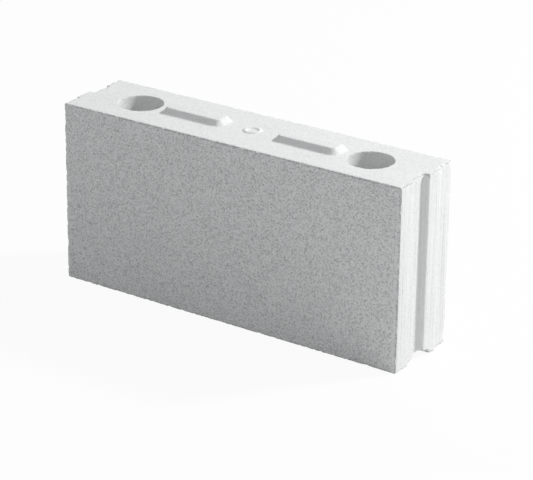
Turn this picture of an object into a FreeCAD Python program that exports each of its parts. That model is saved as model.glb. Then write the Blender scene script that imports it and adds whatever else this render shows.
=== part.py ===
import FreeCAD, Part
import os

# Calcium silicate wall block, millimetres. X runs along the wall, Y through its thickness, Z up.
faceLength = 498.0        # between the flat parts of the two ends
thickness = 115.0
height = 238.0            # between the lower and the upper bed face

# Upright tongue and groove on each end: a tongue over half the profile, a groove over the other half.
profileWidth = 29.0       # across the tongue, and across the groove, at the end face
tongueHeight = 3.5        # how far the tongue stands out
tongueClearance = 0.5     # left between a tongue and the floor of the groove it enters
flankDraft = 1.0          # how much each outer flank leans in over its height
middleDraft = 1.0         # the same for the flank the tongue and groove share, half to each side

# Two round holes, all the way down.
holeDiameter = 58.0
holeOffset = 171.0        # from the middle of the block to a hole's axis

# Two long raised keys on the upper bed, with sloping flanks and rounded corners.
keyLength = 94.0          # over the foot of the flanks
keyWidth = 33.0
keyCorner = 11.0          # radius of the corners at the foot, in plan
keyHeight = 7.5
keySlope = 6.5            # how far the flanks lean in over the height
keyRound = 1.2            # along the top edge
keyGap = 10.5             # from a hole's rim to the foot of the key beside it

# Channel along the whole lower bed, which drops over the keys of the course below.
channelSideClearance = 1.0
channelTopClearance = 1.0

# Small raised ring in the middle of the upper bed.
ringOuterDiameter = 22.0
ringInnerDiameter = 15.0
ringHeight = 1.8

arris = 0.8               # every outer edge is broken by this much

vec = FreeCAD.Vector
upwards = vec(0, 0, 1)
halfLength = faceLength / 2.0
halfThickness = thickness / 2.0


def facedPrism(points, along):
    """Solid pushed along a vector from the face inside a closed outline."""
    return Part.Face(Part.makePolygon(points + points[:1])).extrude(along)


def endProfile():
    """Outline of the right end from front to back: flat, groove, tongue, flat."""
    x = halfLength
    floor = x - tongueHeight - tongueClearance
    top = x + tongueHeight
    half = middleDraft / 2.0
    return [
        (x, -halfThickness),
        (x, -profileWidth),
        (floor, -profileWidth + flankDraft),
        (floor, -half),
        (top, half),
        (top, profileWidth - flankDraft),
        (x, profileWidth),
        (x, halfThickness),
    ]


def roundedOutline(middle, inset, level):
    """Closed outline of a key, set in from its foot, with quarter-round corners."""
    x, y = keyLength / 2.0 - inset, keyWidth / 2.0 - inset
    r = keyCorner - inset
    edges = []
    for turn in range(4):
        reach, side = (x, y) if turn % 2 == 0 else (y, x)
        centre = vec(reach - r, side - r, 0)
        arc = Part.makeCircle(r, centre, upwards, 0, 90)
        line = Part.makeLine(centre + vec(0, r, 0), vec(r - reach, side, 0))
        for edge in (arc, line):
            edge.rotate(vec(0, 0, 0), upwards, 90 * turn)
            edge.translate(vec(middle, 0, level))
            edges.append(edge)
    return Part.Wire(edges)


def makeKey(middle):
    """Raised key standing on the upper bed."""
    foot = roundedOutline(middle, 0, height)
    crown = roundedOutline(middle, keySlope, height + keyHeight)
    key = Part.makeLoft([foot, crown], True, True)
    topEdges = [e for e in key.Edges if e.BoundBox.ZMin > height + keyHeight - 0.01]
    return key.makeFillet(keyRound, topEdges)


def makeChannel():
    """Space of the channel, the shape of a key's section with its clearances added."""
    foot = keyWidth / 2.0 + channelSideClearance
    depth = keyHeight + channelTopClearance
    roof = foot - keySlope * depth / keyHeight
    end = halfLength + tongueHeight
    section = [(-foot, 0), (foot, 0), (roof, depth), (-roof, depth)]
    return facedPrism([vec(-end, y, z) for y, z in section], vec(2 * end, 0, 0))


# The left end is the right end turned half a turn about the upright middle line.
right = endProfile()
left = [(-x, -y) for x, y in right]
body = facedPrism([vec(x, y, 0) for x, y in right + left], height * upwards)
body = body.makeChamfer(arris, body.Edges)
body = body.cut(makeChannel())

keyOffset = holeOffset - holeDiameter / 2.0 - keyGap - keyLength / 2.0
for side in (-1, 1):
    body = body.cut(Part.makeCylinder(holeDiameter / 2.0, height, vec(side * holeOffset, 0, 0)))
    body = body.fuse(makeKey(side * keyOffset))

ring = Part.makeCylinder(ringOuterDiameter / 2.0, ringHeight, height * upwards)
ring = ring.cut(Part.makeCylinder(ringInnerDiameter / 2.0, ringHeight, height * upwards))
body = body.fuse(ring)

os.makedirs("parts", exist_ok=True)
body.exportStep("parts/calcium_silicate_block.step")
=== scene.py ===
import bpy
import math
from mathutils import Matrix, Vector
from mathutils.kdtree import KDTree


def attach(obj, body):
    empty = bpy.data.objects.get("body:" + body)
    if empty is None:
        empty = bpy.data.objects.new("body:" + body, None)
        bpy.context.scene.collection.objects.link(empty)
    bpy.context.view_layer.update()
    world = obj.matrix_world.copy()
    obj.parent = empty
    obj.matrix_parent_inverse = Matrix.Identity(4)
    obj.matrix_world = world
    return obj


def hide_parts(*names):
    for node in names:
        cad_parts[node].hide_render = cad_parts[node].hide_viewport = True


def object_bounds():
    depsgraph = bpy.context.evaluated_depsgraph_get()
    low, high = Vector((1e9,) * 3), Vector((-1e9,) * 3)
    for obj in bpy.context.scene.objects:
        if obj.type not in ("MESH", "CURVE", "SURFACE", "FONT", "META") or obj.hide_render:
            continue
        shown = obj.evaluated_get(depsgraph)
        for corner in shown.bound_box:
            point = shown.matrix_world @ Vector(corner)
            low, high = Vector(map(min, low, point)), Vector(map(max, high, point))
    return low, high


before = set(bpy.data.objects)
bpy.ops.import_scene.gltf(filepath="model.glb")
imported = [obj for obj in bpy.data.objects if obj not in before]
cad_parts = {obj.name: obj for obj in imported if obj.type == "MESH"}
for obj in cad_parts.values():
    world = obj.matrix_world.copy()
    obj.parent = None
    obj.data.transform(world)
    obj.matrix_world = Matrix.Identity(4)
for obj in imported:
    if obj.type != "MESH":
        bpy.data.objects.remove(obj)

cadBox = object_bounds()
mm = 0.001

# the pressed block: its mesh, its crumbled arrises and its broken corners
block = {
    "node": "calcium_silicate_block",
    "mergeWithin": 0.02 * mm,
    "voxel": 1.0 * mm,
    "triangles": 190000,
    "smoothAngle": 38,
    "sharpAngle": 25,          # degrees between faces that count as an arris
    "arrisStep": 0.5 * mm,
    "nicks": {"reach": 3.5 * mm, "size": 7.0 * mm, "depth": 1.3 * mm,
              "detail": 2, "contrast": 4.0, "brightness": 0.5},
    "crumbs": {"reach": 1.8 * mm, "size": 2.4 * mm, "depth": 0.55 * mm,
               "detail": 1, "contrast": 2.5, "brightness": 1.0},
    "innerHalf": 32 * mm,      # holes, keys, ring, channel, tongues and grooves: this near the middle plane
    "innerShare": 0.3,         # how much of the crumbling those get
    "innerWearAndShade": 0.6,          # how much of the worn colour and of the painted shade along arrises those get
    "endDepth": 18 * mm,       # the rims of the two ends get all of it: this far in from the tongues' tops,
    "lowerRim": 6 * mm,        # within this height above the lower bed
    "upperRim": 13.8 * mm,     # or within this depth below the top of the keys
    "chipShape": {"subdivisions": 4, "voxel": 0.4 * mm, "lumpSize": 2.5 * mm, "detail": 2,
                  "contrast": 1.5, "lumpShare": 0.9},    # share of the smallest half size
    # broken spots: place from the middle of the lower bed, half sizes, and turn about X, Y, Z in degrees
    "chips": [
        {"at": (249, 57.5, 8), "size": (4.5, 4.5, 6), "turn": (0, 0, 20)},
        {"at": (253, 15, 100), "size": (1.3, 1.8, 1.6), "turn": (0, 0, 0)},
        {"at": (251, 1, 8), "size": (5, 4, 2.5), "turn": (0, 35, 0)},
        {"at": (246, -12, 1), "size": (3, 6, 3), "turn": (20, 0, 0)},
        {"at": (250, -44, 0), "size": (3, 5, 1.6), "turn": (0, 0, 0)},
        {"at": (253, 22, 238.5), "size": (2.5, 4, 1.6), "turn": (0, 15, 0)},
        {"at": (249.5, 42, 238.5), "size": (3, 5, 1.8), "turn": (10, 0, 0)},
        {"at": (249.5, 57.5, 231), "size": (2, 2.5, 5), "turn": (0, 0, 0)},
        {"at": (249.5, -53, 238.5), "size": (2.4, 3, 1.4), "turn": (0, 0, 15)},
        {"at": (-249, -50, 238.5), "size": (2, 4, 2.2), "turn": (0, 0, 0)},
        {"at": (-232, -57.5, 238.5), "size": (4, 1.6, 1.8), "turn": (0, 0, 0)},
        {"at": (-249, 20, 238.5), "size": (3, 6, 2), "turn": (0, 10, 0)},
        {"at": (-253, -15, 0), "size": (3, 5, 4), "turn": (0, 0, 0)},
        {"at": (120, 57.5, 238.5), "size": (7, 1.6, 1.8), "turn": (0, 0, 0)},
        {"at": (-90, 57.5, 0), "size": (6, 2, 3), "turn": (0, 12, 0)},
    ],
}


def pickOnly(obj):
    bpy.ops.object.select_all(action="DESELECT")
    obj.select_set(True)
    bpy.context.view_layer.objects.active = obj


def applyModifier(obj, kind, name, **settings):
    # adds one modifier, sets it and applies it
    pickOnly(obj)
    mod = obj.modifiers.new(name, kind)
    for key, value in settings.items():
        setattr(mod, key, value)
    bpy.ops.object.modifier_apply(modifier=mod.name)


def remesh(obj, size):
    # an even closed grid of small faces in place of the old mesh
    applyModifier(obj, "REMESH", "grid", mode="VOXEL", voxel_size=size, adaptivity=0)


def cloudTexture(name, size, detail, contrast, brightness=1.0):
    # clamped to 0 and 1, so that crumbling only ever presses inwards
    tex = bpy.data.textures.new(name, "CLOUDS")
    tex.noise_scale = size
    tex.noise_depth = detail
    tex.contrast = contrast
    tex.intensity = brightness
    tex.use_clamp = True
    return tex


def copyOfNode(node, name):
    # a CAD node's mesh, with its loose triangles joined
    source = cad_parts[node]
    copy = source.copy()
    copy.data = source.data.copy()
    copy.name = name
    copy.data.name = name
    copy.data.materials.clear()
    bpy.context.collection.objects.link(copy)
    pickOnly(copy)
    bpy.ops.object.mode_set(mode="EDIT")
    bpy.ops.mesh.select_all(action="SELECT")
    bpy.ops.mesh.remove_doubles(threshold=block["mergeWithin"])
    bpy.ops.object.mode_set(mode="OBJECT")
    return copy


def arrisPoints(obj):
    # a search tree of points along every outward edge of the clean block
    mesh = obj.data
    sidesOfEdge = {}
    for poly in mesh.polygons:
        for key in poly.edge_keys:
            sidesOfEdge.setdefault(key, []).append((poly.normal.copy(), poly.center.copy()))
    limit = math.cos(math.radians(block["sharpAngle"]))
    points = []
    for key, sides in sidesOfEdge.items():
        if len(sides) != 2:
            continue
        (n1, c1), (n2, c2) = sides
        if n1.dot(n2) < limit and n1.dot(c2 - c1) < 0:
            a, b = mesh.vertices[key[0]].co, mesh.vertices[key[1]].co
            count = max(1, int((b - a).length / block["arrisStep"]))
            points += [a.lerp(b, i / count) for i in range(count + 1)]
    tree = KDTree(len(points))
    for i, p in enumerate(points):
        tree.insert(p, i)
    tree.balance()
    return tree


def arrisWeights(obj, tree, reach, innerShare):
    # 1 on an arris, 0 at the reach and beyond
    rimStart = cadBox[1][0] - block["endDepth"]
    low, high = block["lowerRim"], cadBox[1][2] - block["upperRim"]
    weights = []
    for vert in obj.data.vertices:
        x, y, z = vert.co
        inner = abs(y) < block["innerHalf"] and (abs(x) < rimStart or low < z < high)
        weight = max(0.0, 1 - tree.find(vert.co)[2] / reach)
        weights.append(innerShare * weight if inner else weight)
    return weights


def crumble(obj, tree, name):
    # presses the arrises in by a cloud texture, most on the arris itself
    loss = block[name]
    group = obj.vertex_groups.new(name=name)
    for i, weight in enumerate(arrisWeights(obj, tree, loss["reach"], block["innerShare"])):
        if weight > 0:
            group.add([i], weight, "REPLACE")
    texture = cloudTexture(name, loss["size"], loss["detail"], loss["contrast"], loss["brightness"])
    applyModifier(obj, "DISPLACE", name, texture=texture, texture_coords="LOCAL",
                  strength=-loss["depth"], mid_level=0, vertex_group=name)
    obj.vertex_groups.clear()


def makeChips():
    # one clean closed mesh of lumps, each the size and place of a broken spot
    shape = block["chipShape"]
    lumps = cloudTexture("chipLumps", shape["lumpSize"], shape["detail"], shape["contrast"])
    cutters = []
    for chip in block["chips"]:
        bpy.ops.object.select_all(action="DESELECT")
        bpy.ops.mesh.primitive_ico_sphere_add(subdivisions=shape["subdivisions"], radius=1)
        cutter = bpy.context.active_object
        cutter.scale = [s * mm for s in chip["size"]]
        cutter.rotation_euler = [math.radians(a) for a in chip["turn"]]
        cutter.location = [c * mm for c in chip["at"]]
        bpy.ops.object.transform_apply(location=True, rotation=True, scale=True)
        applyModifier(cutter, "DISPLACE", "lumps", texture=lumps, texture_coords="LOCAL",
                      strength=min(chip["size"]) * shape["lumpShare"] * mm, mid_level=0.5)
        cutters.append(cutter)
    for cutter in cutters:
        cutter.select_set(True)
    bpy.ops.object.join()
    joined = bpy.context.active_object
    remesh(joined, shape["voxel"])
    return joined


def breakChips(obj):
    cutters = makeChips()
    applyModifier(obj, "BOOLEAN", "chips", object=cutters, operation="DIFFERENCE", solver="EXACT")
    bpy.data.objects.remove(cutters)


def thin(obj, most):
    triangles = sum(len(poly.vertices) - 2 for poly in obj.data.polygons)
    if triangles > most:
        applyModifier(obj, "DECIMATE", "thin", ratio=most / triangles)


def makeBlock():
    body = copyOfNode(block["node"], "sand_lime_block")
    tree = arrisPoints(body)
    remesh(body, block["voxel"])
    print("block meshed", len(body.data.polygons))
    breakChips(body)
    remesh(body, block["voxel"])
    print("chips broken out", len(body.data.polygons))
    crumble(body, tree, "nicks")
    crumble(body, tree, "crumbs")
    print("arrises crumbled")
    thin(body, block["triangles"])
    print("thinned to", len(body.data.polygons))
    arrisWearAndShade = body.data.attributes.new("arris", "FLOAT", "POINT")
    arrisWearAndShade.data.foreach_set("value", arrisWeights(body, tree, block["nicks"]["reach"], block["innerWearAndShade"]))
    pickOnly(body)
    bpy.ops.object.shade_smooth_by_angle(angle=math.radians(block["smoothAngle"]))
    return body


# the stone itself: white lime binder with quartz sand, sizes in millimetres
stone = {
    "colour": (0.805, 0.805, 0.80, 1),
    "pale": (0.865, 0.865, 0.86, 1),
    "dark": (0.36, 0.36, 0.365, 1),
    "paleGain": 3.5,           # how fast a positive tone turns pale, and a negative one dark
    "darkGain": 2.6,
    "roughness": 0.92,
    "specular": 0.25,
    "sideFade": (1.5, 0.5),    # where the finish of a long face starts and is full, in from its plane
    "endFade": (11, 9.5),      # the same for an end, in from its tongue's top
    "cloudSize": 45,
    "cloudAmount": 0.035,
    "mottleSize": 6,
    "mottleAmount": 0.03,
    "grainSize": 1.25,
    "fineSize": 0.8,
    "grainOnSides": 0.58,      # on the two long faces, where the grain shows stronger
    "grainElsewhere": 0.20,
    "grainOnEnds": 0.12,
    "streakSize": 1.9,
    "streakStretch": 0.01,
    "streakAmount": 0.30,      # upright draw marks on the two ends
    "wornAmount": 0.02,        # worn arrises are a little paler
    "poreSpacing": 5.0,
    "poreReach": 0.16,         # the largest pore's radius, as a share of the spacing
    "poreRarity": 3.0,         # pits along the arrises, darkened in the colour as painted shade
    "lostShadeSize": 1.3,           # grains lost along the arrises
    "lostShadeFrom": (0.36, 0.46),
    # painted shade: how far pores and arris pits are darkened towards the dark colour
    "paintedHollowShade": 0.6,
    "mottleHeight": 0.5,       # heights as shares of a grain's
    "poreHeight": -2.0,
    "bumpHeight": 0.25,
    "bumpStrength": 0.6,
}


def mathNode(tree, operation, a, b=None, c=None, clamp=False):
    node = tree.nodes.new("ShaderNodeMath")
    node.operation = operation
    node.use_clamp = clamp
    for slot, value in zip(node.inputs, (a, b, c)):
        if value is None:
            continue
        if isinstance(value, (int, float)):
            slot.default_value = value
        else:
            tree.links.new(value, slot)
    return node.outputs[0]


def noiseNode(tree, place, size, detail, roughness=0.5):
    # size in millimetres, on coordinates in metres
    node = tree.nodes.new("ShaderNodeTexNoise")
    node.inputs["Scale"].default_value = 1000 / size
    node.inputs["Detail"].default_value = detail
    node.inputs["Roughness"].default_value = roughness
    tree.links.new(place, node.inputs["Vector"])
    return node.outputs["Fac"]


def stretched(tree, place, scale):
    node = tree.nodes.new("ShaderNodeMapping")
    node.inputs["Scale"].default_value = scale
    tree.links.new(place, node.inputs["Vector"])
    return node.outputs["Vector"]


def mixColour(tree, factor, a, b):
    node = tree.nodes.new("ShaderNodeMix")
    node.data_type = "RGBA"
    for slot, value in ((node.inputs["Factor"], factor), (node.inputs["A"], a), (node.inputs["B"], b)):
        if isinstance(value, tuple):
            slot.default_value = value
        else:
            tree.links.new(value, slot)
    return node.outputs["Result"]


def rangeNode(tree, value, low, high):
    # 0 at low, 1 at high and straight between
    node = tree.nodes.new("ShaderNodeMapRange")
    tree.links.new(value, node.inputs["Value"])
    node.inputs["From Min"].default_value = low
    node.inputs["From Max"].default_value = high
    return node.outputs["Result"]


def mixValue(tree, factor, a, b):
    # a where the factor is 0, b where it is 1
    return mathNode(tree, "MULTIPLY_ADD", factor, b - a, a)


def centredNoise(tree, place, size, detail, roughness=0.5):
    # as much below 0 as above
    return mathNode(tree, "SUBTRACT", noiseNode(tree, place, size, detail, roughness), 0.5)


def cellNode(tree, place, size):
    # distance from the middle of each cell, and one random value for the cell
    cells = tree.nodes.new("ShaderNodeTexVoronoi")
    cells.inputs["Scale"].default_value = 1000 / size
    tree.links.new(place, cells.inputs["Vector"])
    split = tree.nodes.new("ShaderNodeSeparateColor")
    tree.links.new(cells.outputs["Color"], split.inputs[0])
    return cells.outputs["Distance"], split.outputs[0]


def faceMask(tree, along, half, fade):
    # 1 on the two faces across one axis, 0 further in
    start, full = fade
    return rangeNode(tree, mathNode(tree, "ABSOLUTE", along), half - start * mm, half - full * mm)


def sandGrain(tree, place):
    # one value for each grain, with finer noise between them
    value = cellNode(tree, place, stone["grainSize"])[1]
    fine = noiseNode(tree, place, stone["fineSize"], detail=2, roughness=0.7)
    return mathNode(tree, "SUBTRACT", mathNode(tree, "ADD", value, fine), 1.0)


def stoneTone(tree, place, grain, mottle, arrisWearAndShade):
    # how much paler or darker than the plain stone each spot is
    split = tree.nodes.new("ShaderNodeSeparateXYZ")
    tree.links.new(place, split.inputs[0])
    side = faceMask(tree, split.outputs["Y"], cadBox[1][1], stone["sideFade"])
    endFace = faceMask(tree, split.outputs["X"], cadBox[1][0], stone["endFade"])

    clouds = centredNoise(tree, place, stone["cloudSize"], detail=2)
    tone = mathNode(tree, "MULTIPLY", clouds, 2 * stone["cloudAmount"])
    tone = mathNode(tree, "MULTIPLY_ADD", mottle, 2 * stone["mottleAmount"], tone)

    amount = mixValue(tree, side, stone["grainElsewhere"], stone["grainOnSides"])
    fewer = stone["grainElsewhere"] - stone["grainOnEnds"]
    amount = mathNode(tree, "SUBTRACT", amount, mathNode(tree, "MULTIPLY", endFace, fewer))
    tone = mathNode(tree, "MULTIPLY_ADD", grain, amount, tone)

    upright = stretched(tree, place, (1, 1, stone["streakStretch"]))
    marks = centredNoise(tree, upright, stone["streakSize"], detail=2, roughness=0.6)
    marks = mathNode(tree, "MULTIPLY", marks, 2 * stone["streakAmount"])
    tone = mathNode(tree, "MULTIPLY_ADD", marks, endFace, tone)
    return mathNode(tree, "MULTIPLY_ADD", arrisWearAndShade, stone["wornAmount"], tone)


def hollowsAndPaintedShade(tree, place, arrisWearAndShade):
    # small open pores and pits along the arrises: pressed in by the bump, and darkened in the colour as
    # painted shade
    distance, value = cellNode(tree, place, stone["poreSpacing"])
    reach = mathNode(tree, "POWER", value, stone["poreRarity"])
    reach = mathNode(tree, "MULTIPLY", reach, stone["poreReach"])
    pore = mathNode(tree, "LESS_THAN", distance, reach)
    # pits along the arrises: pressed in by the bump, and painted dark as shade in the colour
    lostPitAndShade = mathNode(tree, "MULTIPLY", arrisWearAndShade, noiseNode(tree, place, stone["lostShadeSize"], detail=1))
    return mathNode(tree, "MAXIMUM", pore, rangeNode(tree, lostPitAndShade, *stone["lostShadeFrom"]))


def sandLime():
    mat = bpy.data.materials.new("sandLime")
    mat.use_nodes = True
    tree = mat.node_tree
    nodes, links = tree.nodes, tree.links
    shader = nodes["Principled BSDF"]
    shader.inputs["Roughness"].default_value = stone["roughness"]
    shader.inputs["Specular IOR Level"].default_value = stone["specular"]
    place = nodes.new("ShaderNodeTexCoord").outputs["Object"]
    # the arris mask: paler worn arrises, and where the painted shade of arris pits falls
    arris = nodes.new("ShaderNodeAttribute")
    arris.attribute_name = "arris"
    arrisWearAndShade = arris.outputs["Fac"]

    mottle = centredNoise(tree, place, stone["mottleSize"], detail=3)
    grain = sandGrain(tree, place)
    tone = stoneTone(tree, place, grain, mottle, arrisWearAndShade)
    up = mathNode(tree, "MULTIPLY", mathNode(tree, "MAXIMUM", tone, 0.0), stone["paleGain"], clamp=True)
    down = mathNode(tree, "MULTIPLY", mathNode(tree, "MINIMUM", tone, 0.0), -stone["darkGain"], clamp=True)
    colour = mixColour(tree, up, stone["colour"], stone["pale"])
    colour = mixColour(tree, down, colour, stone["dark"])
    hollowAndShade = hollowsAndPaintedShade(tree, place, arrisWearAndShade)
    # painted shade: pores and arris pits darkened towards the dark colour
    colour = mixColour(tree, mathNode(tree, "MULTIPLY", hollowAndShade, stone["paintedHollowShade"]), colour, stone["dark"])
    links.new(colour, shader.inputs["Base Color"])

    height = mathNode(tree, "MULTIPLY_ADD", mottle, stone["mottleHeight"], grain)
    height = mathNode(tree, "MULTIPLY_ADD", hollowAndShade, stone["poreHeight"], height)
    bump = nodes.new("ShaderNodeBump")
    bump.inputs["Strength"].default_value = stone["bumpStrength"]
    bump.inputs["Distance"].default_value = stone["bumpHeight"] * mm
    links.new(height, bump.inputs["Height"])
    links.new(bump.outputs["Normal"], shader.inputs["Normal"])
    return mat


# a plain pale floor and soft light from behind the right end
studio = {
    "floorSize": 12.0,
    "floorGap": 0.05 * mm,    # keeps the floor and the lower bed from sharing one plane
    "floorColour": (0.76, 0.76, 0.76, 1),
    "floorWhite": 0.93,       # how much of plain white the camera sees over the floor's own shade
    "keyTurn": 48,            # degrees from +X towards +Y
    "keyHeight": 41,          # degrees above the floor
    "keyDistance": 4.0,
    "keyLight": 2.72,         # light that reaches the block, in watts per square metre
    "keySize": 0.62,          # across, for soft shadow edges
    "skyLight": 0.47,         # soft light from all round
    "skyColour": (0.965, 0.985, 1.0, 1),
}

camera = {
    "turn": 34.245,           # degrees from -Y towards +X
    "height": 22.678,         # degrees above the floor
    "roll": -0.657,
    "target": (0.02254, 0.0, 0.09868),
    "distance": 3.0115,
    "lens": 163.94,
    "sensor": 36,
    "farthest": 50,
}


def whiteForCamera(tree, ordinary, output, share):
    # the camera, and anything glossy or clear, sees plain white mixed over the ordinary shader
    nodes, links = tree.nodes, tree.links
    kind = "ShaderNodeBackground" if output.bl_idname.endswith("World") else "ShaderNodeEmission"
    white = nodes.new(kind)
    white.inputs["Color"].default_value = (1, 1, 1, 1)
    path = nodes.new("ShaderNodeLightPath")
    seen = mathNode(tree, "MAXIMUM", path.outputs["Is Camera Ray"], path.outputs["Is Glossy Ray"])
    seen = mathNode(tree, "MAXIMUM", seen, path.outputs["Is Transmission Ray"])
    seen = mathNode(tree, "MULTIPLY", seen, share)
    mix = nodes.new("ShaderNodeMixShader")
    links.new(seen, mix.inputs[0])
    links.new(ordinary, mix.inputs[1])
    links.new(white.outputs[0], mix.inputs[2])
    links.new(mix.outputs[0], output.inputs["Surface"])


def floorMaterial():
    mat = bpy.data.materials.new("paleFloor")
    mat.use_nodes = True
    nodes = mat.node_tree.nodes
    shader = nodes["Principled BSDF"]
    shader.inputs["Base Color"].default_value = studio["floorColour"]
    shader.inputs["Roughness"].default_value = 1
    shader.inputs["Specular IOR Level"].default_value = 0
    whiteForCamera(mat.node_tree, shader.outputs[0], nodes["Material Output"], studio["floorWhite"])
    return mat


def makeFloor():
    bpy.ops.object.select_all(action="DESELECT")
    level = cadBox[0][2] - studio["floorGap"]
    bpy.ops.mesh.primitive_plane_add(size=studio["floorSize"], location=(0, 0, level))
    floor = bpy.context.active_object
    floor.name = "floor"
    floor.data.materials.append(floorMaterial())


def makeSky():
    world = bpy.data.worlds.new("studioWorld")
    bpy.context.scene.world = world
    world.use_nodes = True
    nodes = world.node_tree.nodes
    nodes["Background"].inputs["Color"].default_value = studio["skyColour"]
    nodes["Background"].inputs["Strength"].default_value = studio["skyLight"]
    whiteForCamera(world.node_tree, nodes["Background"].outputs[0], nodes["World Output"], 1.0)


def makeLamp():
    lamp = bpy.data.lights.new("keyLamp", "AREA")
    lamp.shape = "DISK"
    lamp.size = studio["keySize"]
    lamp.energy = studio["keyLight"] * math.pi * studio["keyDistance"] ** 2
    key = bpy.data.objects.new("keyLamp", lamp)
    bpy.context.collection.objects.link(key)
    turn, height = math.radians(studio["keyTurn"]), math.radians(studio["keyHeight"])
    flat = math.cos(height)
    towards = Vector((math.cos(turn) * flat, math.sin(turn) * flat, math.sin(height)))
    key.rotation_euler = towards.to_track_quat("Z", "Y").to_euler()
    key.location = towards * studio["keyDistance"]


def makeCamera():
    turn, height, roll = (math.radians(camera[k]) for k in ("turn", "height", "roll"))
    flat = math.cos(height)
    back = Vector((math.sin(turn) * flat, -math.cos(turn) * flat, math.sin(height)))
    right = Vector((0, 0, 1)).cross(back).normalized()
    up = back.cross(right)
    right, up = (math.cos(roll) * right - math.sin(roll) * up, math.sin(roll) * right + math.cos(roll) * up)
    data = bpy.data.cameras.new("camera")
    data.lens = camera["lens"]
    data.sensor_width = camera["sensor"]
    data.clip_end = camera["farthest"]
    cam = bpy.data.objects.new("camera", data)
    bpy.context.collection.objects.link(cam)
    place = Vector(camera["target"]) + back * camera["distance"]
    cam.matrix_world = Matrix((
        (right.x, up.x, back.x, place.x),
        (right.y, up.y, back.y, place.y),
        (right.z, up.z, back.z, place.z),
        (0, 0, 0, 1),
    ))
    bpy.context.scene.camera = cam
    bpy.context.scene.view_settings.view_transform = "Standard"


body = makeBlock()
body.data.materials.append(sandLime())
print("stone made")
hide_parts(block["node"])
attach(body, "root")

makeFloor()
makeSky()
makeLamp()
print("floor and light placed")
makeCamera()
print("camera placed")
